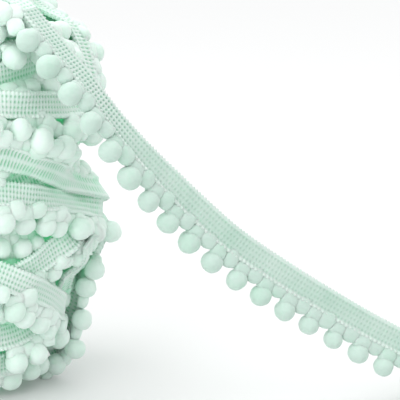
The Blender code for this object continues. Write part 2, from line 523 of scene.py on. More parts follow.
@dataclass
class Winding:
    """The trim laid round the egg turn by turn."""

    trim: Trim
    egg: Egg = field(default_factory=Egg)
    core: float = -9.0 * MM  # the core's surface, measured out from the egg
    step: float = 1.0 * MM
    spacing: float = 0.8 * MM
    span: float = 9.0 * MM  # gaps up to twice this wide are bridged by a taut tape
    tail: float = 22.0 * MM  # a turn doesn't lie on the stretch it grew from
    squash: float = 0.8  # how much of a pompom's height is left under a tape
    # The outer form and the depth under it set where the yarn gets painted shade and painted bounce
    # light.
    even: float = 5.0 * MM  # how far around a place its outer form is evened out
    shallow: float = 1.0 * MM  # how far above the outer form the depth begins
    deep: float = 5.5 * MM  # over how much it goes from none to full
    first: float = -170.0  # degrees from +X towards +Y at which a run of turns begins
    hold: float = 200.0  # degrees into a turn at which it begins to run into the next
    flips: float = 240.0  # degrees into a turn at which its pompoms begin to change sides
    flipping: float = 80.0  # degrees over which they do
    lowest: float = 3.4 * MM  # the least height of a turn's middle
    highest: float = 105.3 * MM
    chunk: float = 100.0 * MM  # how much trim is laid before the ground rises under it
    steepest: float = 0.7  # the most that a tape leans with the ground, as a slope
    give: float = 0.9  # how much of its lower half a pompom keeps where it rests
    sunk: float = 0.35 * MM  # how far it presses into what it rests on
    flattened: float = 0.97  # how much of it a pompom keeps that lies on the surface
    follow: float = 0.5  # how much it follows its edge when the tape is drawn smooth
    ends: float = 8.0 * MM  # how far from its ends the last stretch is raised in full
    stretched: float = 1.12  # the longest that a pompom's drop gets, against its own

    # The tape's lower, middle and upper third, in half widths from its middle.
    thirds: tuple[tuple[float, float], ...] = ((-1.1, -0.3), (-0.35, 0.35), (0.3, 1.1))
    # How a pompom may come to lie: aside from straight down in radians, and drawn in.
    leans: tuple[float, ...] = (0.0, -0.25, 0.25, -0.5, 0.5)
    reaches: tuple[float, ...] = (1.0, 0.86)
    lean_cost: float = 0.8 * MM  # the height that one radian aside counts for
    reach_cost: float = 3.0 * MM  # the height that its whole drop counts for

    def __post_init__(self) -> None:
        """Prepare the height of what has been laid so far."""
        self.points, self.outs = self.egg.cloud(self.spacing)
        self.high = np.full(len(self.points), self.core)
        self.tree = searchable(self.points)

    def near(self, place: np.ndarray, reach: float) -> np.ndarray:
        """Numbers of the egg's points within reach of a place."""
        return np.array([hit[1] for hit in self.tree.find_range(place, reach)], dtype=int)

    def foot(self, place: np.ndarray) -> tuple[np.ndarray, np.ndarray, float]:
        """The egg's point under a place.

        Args:
            place: a point near the egg.

        Returns:
            The egg's point, the unit normal there, and the place's height above it.
        """
        _, number, _ = self.tree.find(place)
        out = self.outs[number]
        high = float((place - self.points[number]) @ out)
        return place - out * high, out, high

    def path(self, turns: Sequence[Turn], stop: float) -> Line:
        """The middle line's feet on the egg for a run of turns.

        Args:
            turns: the turns in the order in which they are wound.
            stop: degrees into the last turn at which the run ends.

        Returns:
            Points, normals and twists at even steps.
        """
        count = len(turns) - 1
        degrees = np.arange(0.0, 360.0 * count + stop, 0.5)
        which = np.minimum((degrees // 360.0).astype(int), count)
        local = degrees - 360.0 * which
        angle = np.radians(degrees + self.first)
        table = np.array([[t.height, t.lean, math.radians(t.toward), t.side.value] for t in turns])
        now = table[which]
        then = table[np.minimum(which + 1, count)]
        low = now[:, 0] + now[:, 1] * np.cos(angle - now[:, 2])
        high = then[:, 0] + then[:, 1] * np.cos(angle - then[:, 2])
        blend = ease((local - self.hold) / (360.0 - self.hold))
        height = np.clip(low + (high - low) * blend, self.lowest, self.highest)
        turned = ease((local - self.flips) / self.flipping)
        twist = now[:, 3] + (then[:, 3] - now[:, 3]) * turned
        return self._evened(angle, height, twist)

    def course(self, stretch: Stretch) -> Line:
        """The same for a steep stretch, its pompoms all on one side.

        Args:
            stretch: the stretch and the places that it passes.

        Returns:
            Points, normals and twists at even steps.
        """
        rows = threaded(np.array(stretch.places))
        lifted = stretch.lifted if stretch.side is Side.ABOVE else -stretch.lifted
        twist = np.full(len(rows), stretch.side.value + lifted)
        return self._evened(np.radians(rows[:, 0]), rows[:, 1], twist)

    def _evened(self, angle: np.ndarray, height: np.ndarray, twist: np.ndarray) -> Line:
        """A line on the egg at even steps.

        Args:
            angle: radians from +X towards +Y at each of its points.
            height: the height of each.
            twist: the tape's twist at each, in radians.

        Returns:
            Points, normals and twists.
        """
        points, outs = self.egg.place(angle, height)
        length = run_along(gaps(points))
        even = np.arange(0.0, length[-1], self.step)
        rows = resampled(even, length, np.column_stack([points, outs, twist]))
        return rows[:, :3], unit(rows[:, 3:6]), rows[:, 6]

    def support(self, foot: np.ndarray, along: np.ndarray, up: np.ndarray) -> np.ndarray:
        """How high the ground stands under a tape.

        Args:
            foot: the egg's point under the tape's middle.
            along: the way the tape runs.
            up: the way across it, over the egg.

        Returns:
            The ground's height under its lower, middle and upper third.
        """
        half, margin, footing = self.trim.half, 0.7 * MM, 0.9 * MM
        ids = self.near(foot, half + margin)
        off = self.points[ids] - foot
        close = np.abs(off @ along) < footing
        v = (off @ up)[close]
        ground = self.high[ids][close]
        found = []
        for low, top in self.thirds:
            held = ground[(v > low * half) & (v < top * half)]
            found.append(held.max() if len(held) else self.core)
        return np.array(found)

    def stamp_tape(
        self, foot: np.ndarray, along: np.ndarray, up: np.ndarray, height: float, slope: float
    ) -> None:
        """Raise the ground to the tape's top at one step.

        Args:
            foot: the egg's point under the tape's middle.
            along: the way the tape runs.
            up: the way across it, over the egg.
            height: how high its middle lies over the egg.
            slope: how much it leans with the ground.
        """
        half, margin, footing = self.trim.half, 0.3 * MM, 0.8 * MM
        ids = self.near(foot, half + margin)
        off = self.points[ids] - foot
        v = off @ up
        held = (np.abs(off @ along) < footing) & (np.abs(v) < half)
        ids, v = ids[held], v[held]
        top = height + slope * v + self.trim.thickness / 2
        self.high[ids] = np.maximum(self.high[ids], top)

    def _caps(self, foot: np.ndarray) -> tuple[np.ndarray, np.ndarray]:
        """A pompom's half thickness over the egg's points under it.

        Args:
            foot: the egg's point under its middle.

        Returns:
            The numbers of the egg's points, and the half thickness over each.
        """
        ids = self.near(foot, self.trim.ball)
        gap = np.linalg.norm(self.points[ids] - foot, axis=1)
        return ids, np.sqrt(np.maximum(self.trim.ball**2 - gap**2, 0.0))

    def rest_height(self, foot: np.ndarray) -> float:
        """How high a pompom's middle is when it rests over a place.

        Args:
            foot: the egg's point there.

        Returns:
            The height over the egg.
        """
        ids, cap = self._caps(foot)
        if not len(ids):
            return self.core
        return float((self.high[ids] + self.give * cap).max()) - self.sunk

    def stamp_ball(self, centre: np.ndarray) -> None:
        """Raise the ground to a pompom's top.

        Args:
            centre: the pompom's middle.
        """
        foot, _, high = self.foot(centre)
        ids, cap = self._caps(foot)
        self.high[ids] = np.maximum(self.high[ids], high + self.squash * cap)

    def settle_ball(
        self, edge: np.ndarray, way: np.ndarray, along: np.ndarray, firm: float = 0.3
    ) -> np.ndarray:
        """Where a pompom that hangs from an edge comes to lie.

        Args:
            edge: the point of the tape's edge it hangs from.
            way: the way from there, flat along the tape.
            along: the way the trim runs.
            firm: how much of its height over the ground it keeps.

        Returns:
            The pompom's middle.
        """
        drop = self.trim.drop
        best, lowest = edge, math.inf
        for turned in self.leans:
            lean = way * math.cos(turned) + along * math.sin(turned)
            for reach in self.reaches:
                foot, out, high = self.foot(edge + lean * drop * reach)
                rest = self.rest_height(foot)
                level = rest + firm * max(high - rest, 0.0)
                cost = level + abs(turned) * self.lean_cost + (1.0 - reach) * self.reach_cost
                if cost < lowest:
                    lowest = cost
                    best = foot + out * level
        gap = best - edge
        best = edge + gap * min(1.0, self.stretched * drop / np.linalg.norm(gap))
        best[2] = max(best[2], self.flattened * self.trim.ball)
        return best

    def _rise(
        self, feet: np.ndarray, along: np.ndarray, ups: np.ndarray, twist: np.ndarray
    ) -> tuple[np.ndarray, np.ndarray]:
        """How a taut tape runs over the ground.

        Args:
            feet: the egg's points under its middle.
            along: the ways that it runs.
            ups: the ways across it, over the egg.
            twist: its twists, in radians.

        Returns:
            Its heights over the egg and how much it leans with the ground.
        """
        half = self.trim.half
        under = np.array([self.support(*row) for row in zip(feet, along, ups)])
        apart = 1.3 * half  # between the places where the outer thirds bear
        tilt = np.clip((under[:, 2] - under[:, 0]) / apart, -self.steepest, self.steepest)
        tilt = smoothed(tilt, 3.0)
        third = 0.7 * half
        need = np.max(under - tilt[:, None] * np.array([-third, 0.0, third]), axis=1)
        need = need + self.trim.thickness / 2
        need = smoothed(bridged(need, round(self.span / self.step)), 2.0)
        stood = np.abs(np.sin(twist)) * 0.8 * half  # a twisted tape stands on its edge
        return need + stood, tilt

    def _drawn(self, line: Line, height: np.ndarray, slope: np.ndarray) -> tuple[Strip, np.ndarray]:
        """The smooth strip over a line on the egg.

        Args:
            line: its feet on the egg, the normals there and its twists.
            height: its height over each foot.
            slope: how much it leans with the ground.

        Returns:
            The strip, and the way it runs at each row.
        """
        feet, outs, twist = line
        height = smoothed(height, 2.0)
        slope = smoothed(slope, 2.0)
        middle = smoothed(feet + outs * height[:, None], 1.5)
        up = np.cross(outs, unit(np.gradient(feet, axis=0)))
        low = self.trim.half * np.abs(up[:, 2]) + 0.3 * self.trim.thickness
        middle[:, 2] = np.maximum(middle[:, 2], low)
        run = unit(np.gradient(middle, axis=0))
        out = square_to(run, outs)
        flat = unit(np.cross(out, run) + out * slope[:, None])
        face = np.cross(run, flat)
        across = np.cos(twist)[:, None] * flat + np.sin(twist)[:, None] * face
        gone = np.arange(len(feet)) * self.step
        return Strip(middle, across, np.cross(run, across), gone), run

    def lay(self, line: Line, past: float = 0.0, firm: float = 0.3) -> tuple[Strip, list[Hung]]:
        """Wind a run of trim over what has been laid.

        Args:
            line: its feet on the egg, the normals there and its twists.
            past: how far on from its end a pompom hangs, which sets the others' places.
            firm: how much of its height over the ground each pompom keeps.

        Returns:
            The strip, at even steps, and its pompoms.
        """
        feet, outs, twist = line
        along = unit(np.gradient(feet, axis=0))
        ups = np.cross(outs, along)
        height = np.zeros(len(feet))
        slope = np.zeros(len(feet))
        chunk = round(self.chunk / self.step)
        lag = round(self.tail / self.step)
        per_ball = self.trim.pitch / self.step
        phase = (len(feet) - 1 + past / self.step) % per_ball
        ball_rows = {round(phase + k * per_ball) for k in range(int(len(feet) / per_ball) + 1)}
        balls: dict[int, Hung] = {}
        waiting: list[int] = []
        for start in range(0, len(feet), chunk):
            rows = range(start, min(start + chunk, len(feet)))
            part = slice(rows.start, rows.stop)
            height[part], slope[part] = self._rise(feet[part], along[part], ups[part], twist[part])
            for i in rows:
                if i in ball_rows:
                    flat = unit(ups[i] + outs[i] * slope[i])
                    face = unit(outs[i] - flat * (outs[i] @ flat))
                    across = math.cos(twist[i]) * flat + math.sin(twist[i]) * face
                    edge = feet[i] + outs[i] * height[i] - across * self.trim.half
                    centre = self.settle_ball(edge, -across, along[i], firm)
                    balls[i] = Hung(centre, edge, along[i])
            for i in waiting + list(rows)[:-lag]:
                self.stamp_tape(feet[i], along[i], ups[i], height[i], slope[i])
                if i in balls:
                    self.stamp_ball(balls[i].centre)
            waiting = list(rows)[-lag:]
        strip, run = self._drawn(line, height, slope)
        hung = []
        for i, ball in sorted(balls.items()):
            edge = strip.middle[i] - strip.across[i] * self.trim.half
            centre = ball.centre + (edge - ball.edge) * self.follow
            hung.append(Hung(centre, edge, run[i]))
        return strip, hung

    def lead(self, strip: Strip, route: Strip, draw: float) -> tuple[Strip, list[Hung]]:
        """The stretch that runs from a strip's end over the crown to the loose end.

        Args:
            strip: the wound strip.
            route: the loose end.
            draw: how strongly both ends keep their own way, in gaps' lengths.

        Returns:
            The stretch without its first row, and its pompoms but for the last.
        """
        start, end = strip.middle[-1], route.middle[0]
        gap = float(np.linalg.norm(end - start))
        go = unit(strip.middle[-1] - strip.middle[-3]) * gap * draw
        arrive = unit(route.middle[1] - route.middle[0]) * gap * draw
        t = np.linspace(0.0, 1.0, 200)[:, None]
        curve = (
            (2 * t**3 - 3 * t**2 + 1) * start
            + (t**3 - 2 * t**2 + t) * go
            + (3 * t**2 - 2 * t**3) * end
            + (t**3 - t**2) * arrive
        )
        length = run_along(gaps(curve))
        even = np.linspace(0.0, length[-1], round(length[-1] / self.step) + 1)
        middle = resampled(even, length, curve)
        run = unit(np.gradient(middle, axis=0))
        turn = ease(even / even[-1])[:, None]
        across = square_to(run, unit(strip.across[-1] * (1.0 - turn) + route.across[0] * turn))
        raised = np.zeros(len(middle))
        outs = np.zeros_like(middle)
        for i, place in enumerate(middle):
            foot, out, high = self.foot(place)
            outs[i] = out
            under = self.support(foot, run[i], np.cross(out, run[i])).max()
            raised[i] = max(under + self.trim.thickness / 2 - high, 0.0)
        fade = np.minimum(1.0, np.minimum(even, even[-1] - even) / self.ends)
        raised = smoothed(bridged(raised, 6) * fade, 2.5)
        middle = middle + outs * raised[:, None]
        run = unit(np.gradient(middle, axis=0))
        across = square_to(run, across)
        gone = strip.gone[-1] + run_along(gaps(middle))
        made = Strip(middle, across, np.cross(run, across), gone)
        hung = []
        for back in np.arange(gone[-1], gone[0], -self.trim.pitch)[::-1]:
            if back - gone[0] < 0.55 * self.trim.pitch:
                continue
            one = made.at(np.array([back]))
            edge = one.middle[0] - one.across[0] * self.trim.half
            along = np.cross(one.across[0], one.outward[0])
            hung.append(Hung(self.settle_ball(edge, -one.across[0], along), edge, along))
        return Strip(made.middle[1:], made.across[1:], made.outward[1:], gone[1:]), hung

    def level(self) -> None:
        """Work out the bundle's outer form, evened out over a few pompoms, from which the painted
        shade's depth is measured.
        """
        self.form_points, _ = self.egg.cloud(self.even / 2)
        self.form = np.array([self.high[self.near(p, self.even)].mean() for p in self.form_points])
        self.form_tree = searchable(self.form_points)

    def depths(self, middles: np.ndarray, points: np.ndarray) -> np.ndarray:
        """How deep in the bundle points lie, from 0 at its outer form to 1: the mask of the painted
        shade and bounce light.

        Args:
            middles: the middle of each part of a piece, such as a pompom.
            points: for each middle the points of that part.

        Returns:
            One number for each point, in one row.
        """
        rows = []
        for middle, own in zip(middles, points):
            foot, out, high = self.foot(middle)
            _, number, _ = self.form_tree.find(foot)
            rows.append(self.form[number] - high - (own - middle) @ out)
        return np.clip((np.concatenate(rows) + self.shallow) / self.deep, 0.0, 1.0)


# ---- meshes

REVERSE = 20.0  # added to the map's second number on a tape's reverse

# Where a tape's mesh has its rows of points, in millimetres from its middle: finely for
# the loose end, less so for the bundle, and coarsely for the hidden turns.
FINE_COLUMNS = (
    -3.0, -2.85, -2.65, -2.4, -2.1, -1.85, -1.6, -1.35, -0.95, -0.55, -0.3, -0.05,
    0.35, 0.75, 1.0, 1.25, 1.55, 1.85, 2.1, 2.35, 2.6, 2.8, 3.0,
)
BUNDLE_COLUMNS = (-3.0, -2.65, -2.25, -1.65, -1.0, -0.4, 0.25, 0.85, 1.5, 2.1, 2.6, 3.0)
HIDDEN_COLUMNS = (-3.0, -2.65, -1.65, -0.4, 0.85, 2.1, 3.0)


@dataclass(frozen=True)
class Knit:
    """The knitted tape's relief: ribs across, chains and holes along, two edges."""

    trim: Trim
    columns: tuple[float, ...]  # across the tape, in millimetres from its middle
    ridge: float = 0.13 * MM
    chain: float = 0.10 * MM  # how far it stands out between the rows of holes
    hole: float = 0.30 * MM
    holes: tuple[float, ...] = (-1.65, -0.4, 0.85, 2.1)
    back_ridge: float = 0.20 * MM
    slot: float = 0.34 * MM
    slots: tuple[float, ...] = (-1.3, 1.3)
    hole_half: float = 0.28  # half a hole's width, in millimetres
    slot_half: float = 0.8  # and half a slot's
    stitching: float = -2.55  # where the stitched ridge runs
    stitch_half: float = 0.45  # half its width
    bead: float = 0.5 * MM  # how far the ridge stands out
    rim: float = 2.75  # where the thinner plain edge begins
    rim_share: float = 0.62  # its thickness against the tape's
    loop: float = 0.45 * MM  # how far the plain edge's small loops stand out
    shut: float = 1.0  # how open the face still is once it has closed up
    shuts: float = 26.0 * MM  # how far along it begins to close up
    closing: float = 22.0 * MM  # over what length it does

    def openness(self, gone: np.ndarray) -> np.ndarray:
        """How open the knitted face is along the tape, from 1 down."""
        return 1.0 - (1.0 - self.shut) * ease((gone - self.shuts) / self.closing)

    def relief(self, gone: np.ndarray, v: float) -> np.ndarray:
        """How far the face stands out along one column.

        Args:
            gone: distances along the tape.
            v: the column, in millimetres from the middle.

        Returns:
            One height for each distance, of half the thickness and its relief.
        """
        wave = ripple(gone, self.trim.rib)
        near = sum(math.exp(-(((v - hole) / self.hole_half) ** 2)) for hole in self.holes)
        up = self.ridge * wave + self.chain * (1.0 - near) - self.hole * near * (1.0 - wave)
        return self._body(gone, v) + self.openness(gone) * up

    def back_relief(self, gone: np.ndarray, v: float) -> np.ndarray:
        """The same for the reverse: stouter ribs with long slots between them.

        Args:
            gone: distances along the tape.
            v: the column, in millimetres from the middle.

        Returns:
            One height for each distance.
        """
        wave = ripple(gone, self.trim.rib)
        near = sum(math.exp(-(((v - slot) / self.slot_half) ** 4)) for slot in self.slots)
        return self._body(gone, v) + self.back_ridge * wave - self.slot * near * (1.0 - wave) ** 2

    def _body(self, gone: np.ndarray, v: float) -> np.ndarray:
        """Half the thickness, with the beads of the stitching at the fringe edge.

        Args:
            gone: distances along the tape.
            v: the column, in millimetres from the middle.

        Returns:
            One height for each distance.
        """
        stitch = math.exp(-(((v - self.stitching) / self.stitch_half) ** 2))
        beads = ripple(gone, 1.2 * self.trim.rib)
        body = 0.5 * self.trim.thickness * (1.0 if v < self.rim else self.rim_share)
        return body + self.bead * stitch * (0.55 + beads)

    def edge(self, gone: np.ndarray) -> np.ndarray:
        """How far the plain edge's small loops stand out."""
        return self.loop * ripple(gone, self.trim.rib) ** 1.5

    def mesh(
        self, strip: Strip, name: str, material: bpy.types.Material, winding: Winding | None
    ) -> bpy.types.Object:
        """The closed tape along a strip.

        Args:
            strip: the tape's rows.
            name: the piece's name.
            material: the finish.
            winding: the bundle that it lies in, or None.

        Returns:
            The piece.
        """
        gone = strip.gone
        top, under = [], []
        for v in self.columns:
            shift = strip.across * (v * MM)
            if v == self.columns[-1]:
                shift = shift + strip.across * self.edge(gone)[:, None]
            top.append(strip.middle + shift + strip.outward * self.relief(gone, v)[:, None])
            under.append(strip.middle + shift - strip.outward * self.back_relief(gone, v)[:, None])
        ring = np.stack(top + under[::-1], axis=1)
        ring[:, :, 2] = np.maximum(ring[:, :, 2], FLOOR_GAP)
        count, sides = ring.shape[:2]
        points = ring.reshape(-1, 3)
        a = np.arange(count - 1)[:, None] * sides
        i = np.arange(sides)[None, :]
        j = (i + 1) % sides
        quads = np.stack([a + i, a + j, a + sides + j, a + sides + i], axis=-1).reshape(-1, 4)
        width = len(self.columns)
        caps = []
        for row, turn in ((0, 1), (count - 1, -1)):
            for k in range(width - 1):
                one = [row * sides + k, row * sides + sides - 1 - k]
                two = [row * sides + sides - 2 - k, row * sides + k + 1]
                caps.append((one + two)[::turn])
        faces = np.vstack([quads, np.array(caps)])
        across = np.array(self.columns + tuple(v + REVERSE for v in self.columns[::-1]))
        uv = np.stack([np.repeat(gone / MM, sides), np.tile(across, count)], axis=1)
        marks = {
            "tint": np.full(len(points), 0.5),
            "depth": np.zeros(len(points)),
            "open": np.repeat(self.openness(gone), sides),
        }
        # depth: the mask of the painted shade and bounce light deep in the bundle
        if winding:
            marks["depth"] = winding.depths(strip.middle, ring)
        return new_mesh_piece(name, points, faces, uv, marks, material)


def shape_of(thing: bpy.types.Object) -> Form:
    """A modelled object's points and faces as arrays; the object is removed.

    Args:
        thing: an object whose faces all have as many corners.

    Returns:
        The vertices' places and the faces' vertex numbers.
    """
    mesh = thing.data
    points = np.zeros(len(mesh.vertices) * 3)
    mesh.vertices.foreach_get("co", points)
    faces = np.array([tuple(face.vertices) for face in mesh.polygons])
    bpy.data.objects.remove(thing, do_unlink=True)
    bpy.data.meshes.remove(mesh)
    return points.reshape(-1, 3), faces


class Shapes:
    """The small soft shapes, each modelled once."""

    @staticmethod
    def _rounded(cuts: int, roundness: float) -> bpy.types.Object:
        """A cube cut up and pressed out towards a ball.

        Args:
            cuts: how many cuts each of its edges gets.
            roundness: 0 for a cube and 1 for a ball.

        Returns:
            The object, with nothing of it selected.
        """
        bpy.ops.object.select_all(action="DESELECT")
        bpy.ops.mesh.primitive_cube_add(size=2.0)
        bpy.ops.object.mode_set(mode="EDIT")
        bpy.ops.mesh.select_all(action="SELECT")
        bpy.ops.mesh.subdivide(number_cuts=cuts)
        bpy.ops.transform.tosphere(value=roundness)
        bpy.ops.mesh.select_all(action="DESELECT")
        bpy.ops.object.mode_set(mode="OBJECT")
        return bpy.context.object

    @staticmethod
    def ball(cuts: int) -> Form:
        """A round of quads, one in radius."""
        points, faces = shape_of(Shapes._rounded(cuts, 1.0))
        return unit(points), faces

    @staticmethod
    def tuft(cuts: int) -> Form:
        """A short soft column, thinner where the tape holds it (towards -Y).

        Args:
            cuts: how many cuts each edge of the cube in it gets.

        Returns:
            Its points and faces, two long each way.
        """
        thing = Shapes._rounded(cuts, 0.72)
        for vertex in thing.data.vertices:
            vertex.select = vertex.co.y < -0.45
        bpy.ops.object.mode_set(mode="EDIT")
        bpy.ops.transform.resize(value=(0.96, 1.0, 0.9), center_override=(0.0, 0.0, 0.0))
        bpy.ops.object.mode_set(mode="OBJECT")
        points, faces = shape_of(thing)
        return points / np.abs(points).max(axis=0), faces


def repeated(shape: Form, places: np.ndarray, frames: np.ndarray) -> Form:
    """Many copies of a shape as one set of arrays.

    Args:
        shape: the points and faces of one.
        places: a middle for each copy.
        frames: for each copy the three rows that its own axes become.

    Returns:
        The joined points and faces.
    """
    points, faces = shape
    moved = np.einsum("vk,nkj->nvj", points, frames) + places[:, None, :]
    lift = (np.arange(len(places)) * len(points))[:, None, None]
    return moved.reshape(-1, 3), (faces[None] + lift).reshape(-1, faces.shape[1])


@dataclass(frozen=True)
class Lump:
    """A soft knob on the fringe edge: half its size each way and where it sits."""

    along: float
    down: float
    side: float
    on: float  # how far along the edge from a pompom
    below: float  # how far down from the edge


TUFT = Lump(2.3 * MM, 2.15 * MM, 1.45 * MM, 0.0, 1.3 * MM)
LINK = Lump(2.25 * MM, 2.2 * MM, 1.35 * MM, 3.6 * MM, 1.4 * MM)


class Pompoms:
    """Joined pompoms, tufts and links for a row of hung places."""

    def __init__(self, trim: Trim, hung: Sequence[Hung], seed: int, winding: Winding | None) -> None:
        """Work out how each pompom is turned.

        Args:
            trim: the trim's sizes.
            hung: where the pompoms are.
            seed: for what varies from one to the next.
            winding: the bundle that they lie in, or None.
        """
        self.trim = trim
        self.random = np.random.default_rng(seed)
        self.winding = winding
        self.centres = np.array([ball.centre for ball in hung])
        self.edges = np.array([ball.edge for ball in hung])
        self.down = unit(self.centres - self.edges)
        self.along = square_to(self.down, np.array([ball.along for ball in hung]))
        self.side = np.cross(self.along, self.down)

    def _piece(
        self,
        name: str,
        shape: Form,
        places: np.ndarray,
        frames: np.ndarray,
        uneven: float,
        material: bpy.types.Material,
    ) -> bpy.types.Object:
        """A piece from copies of a shape, a little uneven and kept above the surface.

        Args:
            name: the piece's name.
            shape: the points and faces of one copy.
            places: a middle for each.
            frames: for each the three rows that its own axes become.
            uneven: how far its points are pushed in and out.
            material: the finish.

        Returns:
            The piece.
        """
        points, faces = repeated(shape, places, frames)
        points = self._rippled(places, points.reshape(len(places), -1, 3), uneven)
        tint = self.random.uniform(0.0, 1.0, len(places))
        flat = points.reshape(-1, 3)
        marks = {"tint": np.repeat(tint, points.shape[1]), "depth": np.zeros(len(flat))}
        # depth: the mask of the painted shade and bounce light deep in the bundle
        if self.winding:
            marks["depth"] = self.winding.depths(places, points)
        flat[:, 2] = np.maximum(flat[:, 2], FLOOR_GAP)
        return new_mesh_piece(name, flat, faces, None, marks, material)

    def _rippled(self, middles: np.ndarray, points: np.ndarray, amount: float) -> np.ndarray:
        """Points pushed in and out a little, as a clipped pile is.

        Args:
            middles: the middle of each copy.
            points: for each copy its points.
            amount: about how far they are pushed.

        Returns:
            The points, in the same order.
        """
        away = unit(points - middles[:, None, :])
        phase = self.random.uniform(0.0, math.tau, (len(middles), 1, 3))
        broad = np.sin(4.0 * away + phase).sum(axis=2)
        fine = np.sin(9.0 * away + 2 * phase).sum(axis=2)
        return points + away * (broad + 0.5 * fine)[:, :, None] * amount

    def balls(
        self, cuts: int, size: Sequence[float], name: str, material: bpy.types.Material
    ) -> bpy.types.Object:
        """The pompoms as one piece.

        Args:
            cuts: how finely each is cut up.
            size: each one's size against the plain pompom, first and last.
            name: the piece's name.
            material: the finish.

        Returns:
            The piece.
        """
        count = len(self.centres)
        scale = np.linspace(size[0], size[1], count) * self.random.uniform(0.95, 1.05, count)
        oval = self.random.uniform(0.96, 1.04, (count, 3, 1))
        frames = np.stack([self.along, self.down, self.side], axis=1) * oval
        frames = frames * (self.trim.ball * scale)[:, None, None]
        uneven = 0.016 * self.trim.ball
        return self._piece(name, Shapes.ball(cuts), self.centres, frames, uneven, material)

    def tufts(self, cuts: int, name: str, material: bpy.types.Material) -> bpy.types.Object:
        """The tuft over each pompom and the link beside it as one piece.

        Args:
            cuts: how finely each is cut up.
            name: the piece's name.
            material: the finish.

        Returns:
            The piece.
        """
        places, frames = [], []
        for lump in (TUFT, LINK):
            places.append(self.edges + self.down * lump.below + self.along * lump.on)
            sizes = self.random.uniform(0.9, 1.12, (len(self.edges), 3, 1))
            axes = [self.along * lump.along, self.down * lump.down, self.side * lump.side]
            frames.append(np.stack(axes, axis=1) * sizes)
        shape, uneven = Shapes.tuft(cuts), 0.05 * MM
        return self._piece(name, shape, np.vstack(places), np.vstack(frames), uneven, material)


# ---- finishes


class Graph:
    """A short way to add and join nodes in a tree."""

    def __init__(self, tree: bpy.types.NodeTree) -> None:
        """Keep the tree."""
        self.tree = tree

    def node(
        self, kind: str, inputs: dict[int | str, Value] | None = None, **settings: object
    ) -> bpy.types.Node:
        """A new node.

        Args:
            kind: its type's name.
            inputs: a value or a link for each input, by its name or number.
            **settings: its other settings.

        Returns:
            The node.
        """
        made = self.tree.nodes.new(kind)
        for setting, value in settings.items():
            setattr(made, setting, value)
        self.fill(made, inputs or {})
        return made

    def fill(self, node: bpy.types.Node, inputs: dict[int | str, Value]) -> None:
        """Give a node's inputs their values or links.

        Args:
            node: the node.
            inputs: a value or a link for each input, by its name or number.
        """
        for key, value in inputs.items():
            if isinstance(value, bpy.types.NodeSocket):
                self.tree.links.new(value, node.inputs[key])
            else:
                node.inputs[key].default_value = value

    def math(self, operation: str, *values: Value, clamp: bool = False) -> bpy.types.NodeSocket:
        """The result of a sum on one, two or three values or sockets."""
        made = self.node("ShaderNodeMath", dict(enumerate(values)), operation=operation, use_clamp=clamp)
        return made.outputs[0]

    def mix(self, share: Value, one: Value, two: Value) -> bpy.types.NodeSocket:
        """A colour between two."""
        made = self.node("ShaderNodeMix", {0: share, 6: one, 7: two}, data_type="RGBA")
        return made.outputs[2]


def group(
    name: str, ins: dict[str, tuple[str, Value]], outs: dict[str, str]
) -> tuple[bpy.types.NodeTree, Graph]:
    """An empty shader node group.

    Args:
        name: the group's name.
        ins: each input's socket type and value by its name.
        outs: each output's socket type by its name.

    Returns:
        The group and a graph to fill it with.
    """
    tree = bpy.data.node_groups.new(name, "ShaderNodeTree")
    for key, (kind, value) in ins.items():
        tree.interface.new_socket(name=key, in_out="INPUT", socket_type=kind).default_value = value
    for key, kind in outs.items():
        tree.interface.new_socket(name=key, in_out="OUTPUT", socket_type=kind)
    return tree, Graph(tree)


class Surface(Enum):
    """Which relief a yarn is made up in."""

    KNIT = "knit"
    PILE = "pile"


FLOAT, COLOUR = "NodeSocketFloat", "NodeSocketColor"
# the first output is painted shade for hollows and faces, the second a bump height
RELIEF = {"Hollow": FLOAT, "Height": FLOAT}  # what each relief group puts out
BLACK = (0.0, 0.0, 0.0, 1.0)
WHITE = (1.0, 1.0, 1.0, 1.0)


